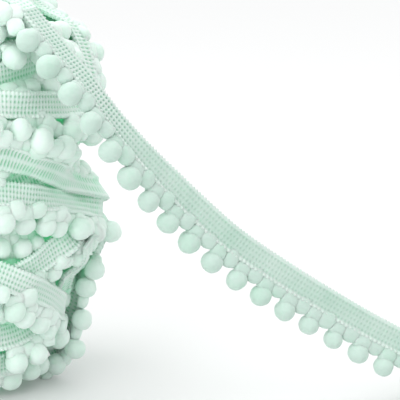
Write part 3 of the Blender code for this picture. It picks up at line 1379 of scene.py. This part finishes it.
class Effects:
    """The shader groups that the yarns share."""

    def __init__(self) -> None:
        """Build the three groups."""
        self.colour_and_painted_light = self._colour_and_painted_light()
        self.reliefs = {Surface.KNIT: self._knit(), Surface.PILE: self._pile()}

    def relief(self, surface: Surface) -> bpy.types.NodeTree:
        """The group of a surface's relief."""
        return self.reliefs[surface]

    @staticmethod
    def _colour_and_painted_light() -> bpy.types.NodeTree:
        """The yarn's colour: uneven dyeing, and painted shade, a deeper green deep in the bundle and in
        its hollows.

        Returns:
            The group, whose second output is painted bounce light: the deeper green given off in the
            gaps.
        """
        ins = {
            "Colour": (COLOUR, (0.6, 0.8, 0.7, 1.0)),
            "Painted Shade Colour": (COLOUR, (0.2, 0.6, 0.4, 1.0)),
            "Hollow": (FLOAT, 0.0),
        }
        tree, g = group("uneven_colour_and_painted_light", ins, {"Colour": COLOUR, "Painted Glow": COLOUR})
        given = g.node("NodeGroupInput").outputs
        place = g.node("ShaderNodeTexCoord").outputs["Object"]
        cloud = g.node("ShaderNodeTexNoise", {"Vector": place, "Scale": 130.0, "Detail": 3.0})
        tint = g.node("ShaderNodeAttribute", attribute_name="tint").outputs["Fac"]
        depth = g.node("ShaderNodeAttribute", attribute_name="depth").outputs["Fac"]
        paler = g.math("MULTIPLY", g.math("SUBTRACT", cloud.outputs[0], 0.5), 0.5)
        paler = g.math("ADD", paler, g.math("MULTIPLY", g.math("SUBTRACT", tint, 0.5), 0.16))
        # painted shade: the deeper green rises with the depth mark and the hollows, while the noise and
        # the tint are uneven dyeing
        shade = g.math("SUBTRACT", g.math("POWER", depth, 1.3), paler)
        shade = g.math("ADD", g.math("MULTIPLY", shade, 0.75), given["Hollow"], clamp=True)
        colour = g.mix(shade, given["Colour"], given["Painted Shade Colour"])
        # painted bounce light: deep in the bundle the deeper green is given off as emission
        painted_glow = g.mix(g.math("POWER", depth, 1.5), BLACK, given["Painted Shade Colour"])
        g.node("NodeGroupOutput", {"Colour": colour, "Painted Glow": painted_glow})
        return tree

    @staticmethod
    def _knit() -> bpy.types.NodeTree:
        """The knitted faces: ribs across, rows of holes or of slots, and fine yarn lines, with painted
        shade in the holes and slots and on the tape's face.

        Returns:
            The group, which reads the tape's own map: millimetres along and across it.
        """
        ins = {
            "Open": (FLOAT, 0.6),
            "Face": (FLOAT, 0.0),
            "Rib": (FLOAT, 1.0),
            "Row": (FLOAT, 1.25),
            "First Row": (FLOAT, -1.65),
            "Back Row": (FLOAT, 2.6),
            "Back First Row": (FLOAT, -1.3),
        }
        tree, g = group("knit_faces", ins, RELIEF)
        given = g.node("NodeGroupInput").outputs
        where = g.node("ShaderNodeUVMap", uv_map="TrimUV").outputs["UV"]
        parts = g.node("ShaderNodeSeparateXYZ", {0: where}).outputs
        back = g.math("GREATER_THAN", parts[1], REVERSE / 2)
        across = g.math("SUBTRACT", parts[1], g.math("MULTIPLY", back, REVERSE))
        turn = g.math("MULTIPLY", g.math("DIVIDE", parts[0], given["Rib"]), math.tau)
        rib = g.math("MULTIPLY_ADD", g.math("COSINE", turn), 0.5, 0.5)
        lines = []
        for first, row in (("First Row", "Row"), ("Back First Row", "Back Row")):
            share = g.math("DIVIDE", g.math("SUBTRACT", across, given[first]), given[row])
            wave = g.math("COSINE", g.math("MULTIPLY", share, math.tau))
            lines.append(g.math("MULTIPLY_ADD", wave, 0.5, 0.5))
        holes = g.math("POWER", lines[0], 1.5)
        slots = g.math("MULTIPLY", lines[1], 1.6, clamp=True)
        line = g.math("ADD", holes, g.math("MULTIPLY", back, g.math("SUBTRACT", slots, holes)))
        off = g.math("ABSOLUTE", g.math("SUBTRACT", across, 0.22))
        past = g.math("MULTIPLY", g.math("SUBTRACT", off, 2.15), 3.0)
        inside = g.math("SUBTRACT", 1.0, past, clamp=True)
        between = g.math("POWER", g.math("SUBTRACT", 1.0, rib), 1.5)
        # the holes and slots: a dip in the bump height, and painted shade
        hollow = g.math("MULTIPLY", g.math("MULTIPLY", between, line), inside)
        spread = g.node("ShaderNodeMapping", {0: where, "Scale": (9.0, 2.2, 1.0)})
        fine = g.node("ShaderNodeTexNoise", {"Vector": spread.outputs[0], "Scale": 1.0, "Detail": 2.0})
        height = g.math("ADD", g.math("MULTIPLY", fine.outputs[0], 0.55), g.math("MULTIPLY", rib, 0.35))
        height = g.math("SUBTRACT", height, hollow)
        still = g.node("ShaderNodeAttribute", attribute_name="open").outputs["Fac"]
        smooth = g.math("MULTIPLY_ADD", still, -0.8, 1.0)
        # painted shade: the tape's face is darker than its edges, more so where it has closed up, and
        # the holes are darker where it is open
        deeper = g.math("MULTIPLY", g.math("MULTIPLY", inside, given["Face"]), smooth)
        hollow = g.math("MULTIPLY", hollow, g.math("MULTIPLY", given["Open"], still))
        hollow = g.math("ADD", hollow, deeper)
        g.node("NodeGroupOutput", {"Hollow": hollow, "Height": height})
        return tree

    @staticmethod
    def _pile() -> bpy.types.NodeTree:
        """The clipped pile of a pompom: short fibres lying every way, with painted shade where it dips.

        Returns:
            The group.
        """
        ins = {"Open": (FLOAT, 0.35), "Scale": (FLOAT, 1.0)}
        tree, g = group("clipped_pile", ins, RELIEF)
        given = g.node("NodeGroupInput").outputs
        place = g.node("ShaderNodeTexCoord").outputs["Object"]
        noises = []
        for scale, detail, distortion in ((1500.0, 3.0, 0.6), (420.0, 2.0, 1.5)):
            size = g.math("MULTIPLY", given["Scale"], scale)
            inputs = {"Vector": place, "Scale": size, "Detail": detail, "Distortion": distortion}
            noises.append(g.node("ShaderNodeTexNoise", inputs).outputs[0])
        fine, broad = noises
        height = g.math("ADD", fine, g.math("MULTIPLY", broad, 1.2))
        # painted shade where the broad pile dips
        hollow = g.math("MULTIPLY", g.math("SUBTRACT", 0.52, broad), 0.6, clamp=True)
        hollow = g.math("MULTIPLY", hollow, given["Open"])
        g.node("NodeGroupOutput", {"Hollow": hollow, "Height": height})
        return tree


@dataclass(frozen=True)
class Yarn:
    """A matte dyed yarn, with painted shade and painted bounce light."""

    name: str
    surface: Surface
    colour: tuple[float, float, float] = (0.72, 0.85, 0.785)
    # the deeper green of the painted shade and of the painted bounce light
    deep: tuple[float, float, float] = (0.14, 0.62, 0.33)
    painted_glow: float = 0.34  # painted bounce light: how strongly the gaps give off the deeper green
    hollow: float = 0.6  # painted shade: how much its hollows are painted in the deeper colour
    face: float = 0.0  # painted shade: how much darker a tape's face is painted than its two edges
    relief: float = 0.12 * MM
    roughness: float = 0.88
    soft: float = 0.35  # how much of the light goes into the yarn and comes out beside
    depth: float = 1.2 * MM  # how far it goes
    spread: tuple[float, float, float] = (0.7, 1.0, 0.85)  # how far each colour of it goes
    sheen: float = 0.25
    sheen_roughness: float = 0.5

    def material(self, effects: Effects) -> bpy.types.Material:
        """A new material of this yarn.

        Args:
            effects: the shared shader groups.

        Returns:
            The material.
        """
        made = bpy.data.materials.new(self.name)
        made.use_nodes = True
        g = Graph(made.node_tree)
        shader = made.node_tree.nodes["Principled BSDF"]
        opened: dict[int | str, Value] = {"Open": self.hollow}
        if self.surface is Surface.KNIT:
            opened["Face"] = self.face
        relief = g.node("ShaderNodeGroup", node_tree=effects.relief(self.surface))
        g.fill(relief, opened)
        # this group paints shade and bounce light besides the uneven dyeing
        colour_and_painted_light = g.node("ShaderNodeGroup", node_tree=effects.colour_and_painted_light)
        shades = {"Colour": (*self.colour, 1.0), "Painted Shade Colour": (*self.deep, 1.0)}
        g.fill(colour_and_painted_light, {**shades, "Hollow": relief.outputs["Hollow"]})
        bump = g.node("ShaderNodeBump", {"Height": relief.outputs["Height"], "Distance": self.relief})
        looks = {
            "Base Color": colour_and_painted_light.outputs["Colour"],
            # painted bounce light, given off as emission in the gaps
            "Emission Color": colour_and_painted_light.outputs["Painted Glow"],
            "Normal": bump.outputs["Normal"],
            "Emission Strength": self.painted_glow,
            "Roughness": self.roughness,
            "Subsurface Weight": self.soft,
            "Subsurface Radius": self.spread,
            "Subsurface Scale": self.depth,
            "Sheen Weight": self.sheen,
            "Sheen Roughness": self.sheen_roughness,
        }
        g.fill(shader, looks)
        return made


TAPE_YARN = Yarn("tape_yarn", Surface.KNIT)
BALL_YARN = Yarn("ball_yarn", Surface.PILE, hollow=0.35, relief=0.10 * MM)
# Painted shade: darker copies of the yarns for the loose end, which lies away from the lamps.
SHADED_LOOSE_TAPE_YARN = Yarn(
    "shaded_loose_tape_yarn",
    Surface.KNIT,
    colour=(0.58, 0.69, 0.635),
    deep=(0.09, 0.38, 0.23),
    hollow=0.75,
    face=0.22,
)
SHADED_LOOSE_BALL_YARN = replace(BALL_YARN, name="shaded_loose_ball_yarn", colour=(0.51, 0.645, 0.58))


# ---- the studio


class Lamp(NamedTuple):
    """A soft square lamp that looks at the trim's middle."""

    name: str
    place: tuple[float, float, float]
    size: float
    power: float  # in watts


@dataclass(frozen=True)
class Studio:
    """The floor, the lights and the camera."""

    target: tuple[float, float, float] = (59.8 * MM, 0.0, 47.7 * MM)
    distance: float = 380.0 * MM
    elevation: float = 12.0  # degrees that the camera looks down
    lens: float = 136.3  # its focal length in millimetres, for a film 36 wide
    lamps: tuple[Lamp, ...] = (
        Lamp("key", (-0.25, 0.05, 0.70), 0.35, 1.05),
        Lamp("fill", (-0.50, -0.70, 0.40), 0.5, 2.8),
    )
    ground: tuple[float, float, float, float] = (0.68, 0.685, 0.685, 1.0)
    ground_glow: float = 0.05
    horizon: float = 0.46  # the surround's strength at eye level
    overhead: float = 1.26  # how much stronger it is straight up

    def camera(self) -> None:
        """A long lens a little above the trim."""
        lens = bpy.data.cameras.new("camera")
        lens.lens = self.lens
        lens.sensor_width = 36.0
        lens.clip_start = 10 * MM
        lens.clip_end = 20.0
        camera = bpy.data.objects.new("camera", lens)
        bpy.context.scene.collection.objects.link(camera)
        turn = math.radians(self.elevation)
        back = Vector((0.0, -math.cos(turn), math.sin(turn)))
        camera.location = Vector(self.target) + back * self.distance
        camera.rotation_euler = (-back).to_track_quat("-Z", "Y").to_euler()
        bpy.context.scene.camera = camera

    def light(self, lamp: Lamp) -> None:
        """Hang one lamp.

        Args:
            lamp: its name, place, size and power.
        """
        made = bpy.data.lights.new(lamp.name, "AREA")
        made.size = lamp.size
        made.energy = lamp.power
        thing = bpy.data.objects.new(lamp.name, made)
        bpy.context.scene.collection.objects.link(thing)
        thing.location = lamp.place
        way = Vector(self.target) - Vector(lamp.place)
        thing.rotation_euler = way.to_track_quat("-Z", "Y").to_euler()

    def floor(self) -> None:
        """A wide pale floor."""
        bpy.ops.object.select_all(action="DESELECT")
        bpy.ops.mesh.primitive_plane_add(size=6.0)
        floor = bpy.context.object
        floor.name = "floor"
        made = bpy.data.materials.new("floor_white")
        made.use_nodes = True
        looks = {
            "Base Color": self.ground,
            "Roughness": 0.8,
            "Emission Color": WHITE,
            "Emission Strength": self.ground_glow,
        }
        Graph(made.node_tree).fill(made.node_tree.nodes["Principled BSDF"], looks)
        floor.data.materials.append(made)

    def sky(self) -> None:
        """A white surround, brighter overhead."""
        world = bpy.data.worlds.new("surround")
        bpy.context.scene.world = world
        world.use_nodes = True
        g = Graph(world.node_tree)
        way = g.node("ShaderNodeTexCoord").outputs["Generated"]
        parts = g.node("ShaderNodeSeparateXYZ", {0: way})
        up = g.math("MAXIMUM", parts.outputs[2], 0.0)
        strength = g.math("MULTIPLY_ADD", up, self.overhead, self.horizon)
        g.fill(world.node_tree.nodes["Background"], {"Color": WHITE, "Strength": strength})

    def build(self) -> None:
        """All of the studio."""
        self.camera()
        self.floor()
        self.sky()
        for lamp in self.lamps:
            self.light(lamp)
        bpy.context.scene.view_settings.view_transform = "Standard"


# ---- the parts


@dataclass
class LooseEnd:
    """The loose end of the trim: its tape and its pompoms."""

    trim: Trim
    route: Loose
    step: float = 0.25 * MM
    shut: float = 0.25  # how open its knitted face still is once it has closed up
    size: tuple[float, float] = (1.10, 0.94)  # its first and last pompom, against the plain one
    cord_step: float = 2.8 * MM  # between the points of its middle line

    def hung(self) -> list[Hung]:
        """The loose end's pompoms where the frame has them.

        Returns:
            Their places from the bundle outwards, the first ones held closer to the tape.
        """
        rows = self.route.strip(self.trim.pitch)
        along = unit(np.gradient(rows.middle, axis=0))
        found = []
        for i in range(1, len(rows.middle) - 1):
            edge = rows.middle[i] - rows.across[i] * self.trim.half
            way = self.route.hang_way(edge, rows.across[i])
            drop = self.trim.drop * (0.84 + 0.16 * float(ease(np.array((i - 3) / 6))))
            found.append(Hung(edge + way * drop, edge, along[i]))
        return found

    def build(self, tape_yarn: bpy.types.Material, ball_yarn: bpy.types.Material) -> None:
        """The tape, its pompoms and tufts.

        Args:
            tape_yarn: the tape's finish.
            ball_yarn: the finish of its pompoms and tufts.
        """
        knit = Knit(self.trim, FINE_COLUMNS, shut=self.shut)
        tape = knit.mesh(self.route.strip(self.step), "loose_tape_knit", tape_yarn, None)
        hung = self.hung()
        poms = Pompoms(self.trim, hung, seed=11, winding=None)
        balls = poms.balls(11, self.size, "loose_pompoms", ball_yarn)
        tufts = poms.tufts(5, "loose_tufts", ball_yarn)
        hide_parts("loose_tape")
        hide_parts(*[f"pompom_{number:02d}" for number in range(1, len(hung) + 1)])
        path = self.route.strip(self.cord_step).middle


class Wound(NamedTuple):
    """All that is wound in the bundle."""

    winding: Winding
    hidden: Strip  # the inner turns
    turns: Strip  # the outer turns, up to the loose end
    sides: list[Strip]  # the steep stretches
    inside: list[Hung]  # the inner turns' pompoms
    outside: list[Hung]  # all the others


@dataclass
class Bundle:
    """The wound bundle: inner turns, outer turns and what fills the gaps."""

    trim: Trim
    stop: float = 12.0  # degrees into its last turn where the trim leaves the egg
    inner_turns: int = 12
    inner_from: float = 7.0 * MM  # the height of the lowest inner turn
    inner_to: float = 101.0 * MM  # and of the highest
    step: float = 0.25 * MM
    hidden_step: float = 1.0 * MM  # the same for the inner turns, which hardly show
    lengths: int = 3  # how many pieces its outer tape is made in
    draw: float = 0.9  # how strongly the last turn is drawn into the loose end
    filling: float = 3.2 * MM  # between two knobs of the filling
    filling_high: float = 1.0 * MM  # how far the knobs' middles stand over the core
    size: float = 1.08  # its pompoms against the plain one
    inner_size: float = 1.05

    def inner(self) -> list[Turn]:
        """The hidden turns.

        Returns:
            The turns from the foot to the crown, each leaning its own way.
        """
        random = np.random.default_rng(3)
        made = []
        for height in np.linspace(self.inner_from, self.inner_to, self.inner_turns):
            lean = random.uniform(3.0, 9.0) * MM
            lean = min(lean, height - 3 * MM, 105 * MM - height)
            toward = random.uniform(0, 360)
            made.append(Turn(float(height), float(lean), float(toward), Side.BELOW))
        return made

    def wind(self, route: Strip) -> Wound:
        """Lay the trim from the inside out.

        Args:
            route: the loose end's strip, which the last turn runs into.

        Returns:
            The winding, its strips and its pompoms.
        """
        winding = Winding(self.trim)
        hidden, inside = winding.lay(winding.path(self.inner(), 350.0))
        last = len(OUTER_TURNS) - 1
        marks = [0, *[stretch.after for stretch in STRETCHES], last]
        lines = []
        for low, high in zip(marks, marks[1:]):
            stop = self.stop if high == last else 0.0
            lines.append(winding.path(OUTER_TURNS[low : high + 1], stop))
        turns, outside, sides = None, [], []
        for number, line in enumerate(lines):
            past = sum(len(later[0]) for later in lines[number + 1 :]) * winding.step
            strip, found = winding.lay(line, past)
            turns = self._joined(turns, strip) if turns else strip
            outside.extend(found)
            if number < len(STRETCHES):
                stretch = STRETCHES[number]
                side, found = winding.lay(winding.course(stretch), firm=stretch.firm)
                sides.append(side)
                outside.extend(found)
        lead, found = winding.lead(turns, route, self.draw)
        turns = self._joined(turns, lead)
        return Wound(winding, hidden, turns, sides, inside, [*outside, *found])

    @staticmethod
    def _joined(one: Strip, two: Strip) -> Strip:
        """Two strips as one.

        Args:
            one: the first.
            two: the second, which runs on from it.

        Returns:
            The whole strip.
        """
        start = one.gone[-1] + float(np.linalg.norm(two.middle[0] - one.middle[-1])) - two.gone[0]
        return Strip(
            np.vstack([one.middle, two.middle]),
            np.vstack([one.across, two.across]),
            np.vstack([one.outward, two.outward]),
            np.concatenate([one.gone, two.gone + start]),
        )

    def tapes(self, wound: Wound, yarn: bpy.types.Material) -> list[bpy.types.Object]:
        """The tape of every turn and stretch.

        Args:
            wound: what is wound in the bundle.
            yarn: the finish.

        Returns:
            The pieces: the outer turns in order, the steep stretches and the inner turns.
        """
        knit = Knit(self.trim, BUNDLE_COLUMNS)
        length = wound.turns.gone[-1]
        count = round(length / self.step)
        cuts = np.linspace(0, count, self.lengths + 1).astype(int)
        gone = np.linspace(0.0, length, count + 1)
        pieces = []
        for number, (low, high) in enumerate(zip(cuts, cuts[1:]), start=1):
            part = wound.turns.at(gone[low : high + 1])
            pieces.append(knit.mesh(part, f"bundle_tape_{number}", yarn, wound.winding))
        for number, side in enumerate(wound.sides, start=1):
            part = side.at(np.arange(0.0, side.gone[-1], self.step))
            pieces.append(knit.mesh(part, f"bundle_tape_side_{number}", yarn, wound.winding))
        coarse = Knit(self.trim, HIDDEN_COLUMNS)
        part = wound.hidden.at(np.arange(0.0, wound.hidden.gone[-1], self.hidden_step))
        pieces.append(coarse.mesh(part, "bundle_tape_inner", yarn, wound.winding))
        return pieces

    def pompoms(self, wound: Wound, yarn: bpy.types.Material) -> list[bpy.types.Object]:
        """Every turn's pompoms and tufts, and the filling that closes the gaps.

        Args:
            wound: what is wound in the bundle.
            yarn: the finish.

        Returns:
            The pieces.
        """
        winding = wound.winding
        outer = Pompoms(self.trim, wound.outside, seed=5, winding=winding)
        inner = Pompoms(self.trim, wound.inside, seed=7, winding=winding)
        points, outs = winding.egg.cloud(self.filling)
        places = points + outs * (winding.core + self.filling_high)
        slanted = np.array([0.3, 0.5, 0.9])
        knobs = [Hung(p, p - out * MM, unit(np.cross(out, slanted))) for p, out in zip(places, outs)]
        core = Pompoms(self.trim, knobs, seed=9, winding=winding)
        return [
            outer.balls(3, (self.size, self.size), "bundle_pompoms", yarn),
            outer.tufts(2, "bundle_tufts", yarn),
            inner.balls(2, (self.inner_size, self.inner_size), "bundle_pompoms_inner", yarn),
            core.balls(1, (1.0, 1.0), "bundle_core", yarn),
        ]

    def build(self, route: Strip, tape_yarn: bpy.types.Material, ball_yarn: bpy.types.Material) -> None:
        """All of the bundle's pieces.

        Args:
            route: the loose end's strip, which the last turn runs into.
            tape_yarn: the tape's finish.
            ball_yarn: the finish of the pompoms, tufts and filling.
        """
        wound = self.wind(route)
        wound.winding.level()
        tapes = self.tapes(wound, tape_yarn)
        for piece in (*tapes, *self.pompoms(wound, ball_yarn)):
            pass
        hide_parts("wound_bundle")
        LOG.info("trim wound: %.2f m", wound.turns.gone[-1] + wound.hidden.gone[-1])


def main() -> None:
    """Build the studio, the loose end and the bundle."""
    logging.basicConfig(level=logging.INFO, format="%(message)s")
    trim = Trim()
    Studio().build()
    effects = Effects()
    tape_yarn = TAPE_YARN.material(effects)
    ball_yarn = BALL_YARN.material(effects)
    route = Loose(trim, LOOSE_ROUTE)
    loose_end = LooseEnd(trim, route)
    # the loose end takes darker copies of the yarns, as painted shade
    loose_end.build(SHADED_LOOSE_TAPE_YARN.material(effects), SHADED_LOOSE_BALL_YARN.material(effects))
    LOG.info("loose end: %.3f m", route.length)
    Bundle(trim).build(route.strip(1.0 * MM), tape_yarn, ball_yarn)


if __name__ == "__main__":
    main()
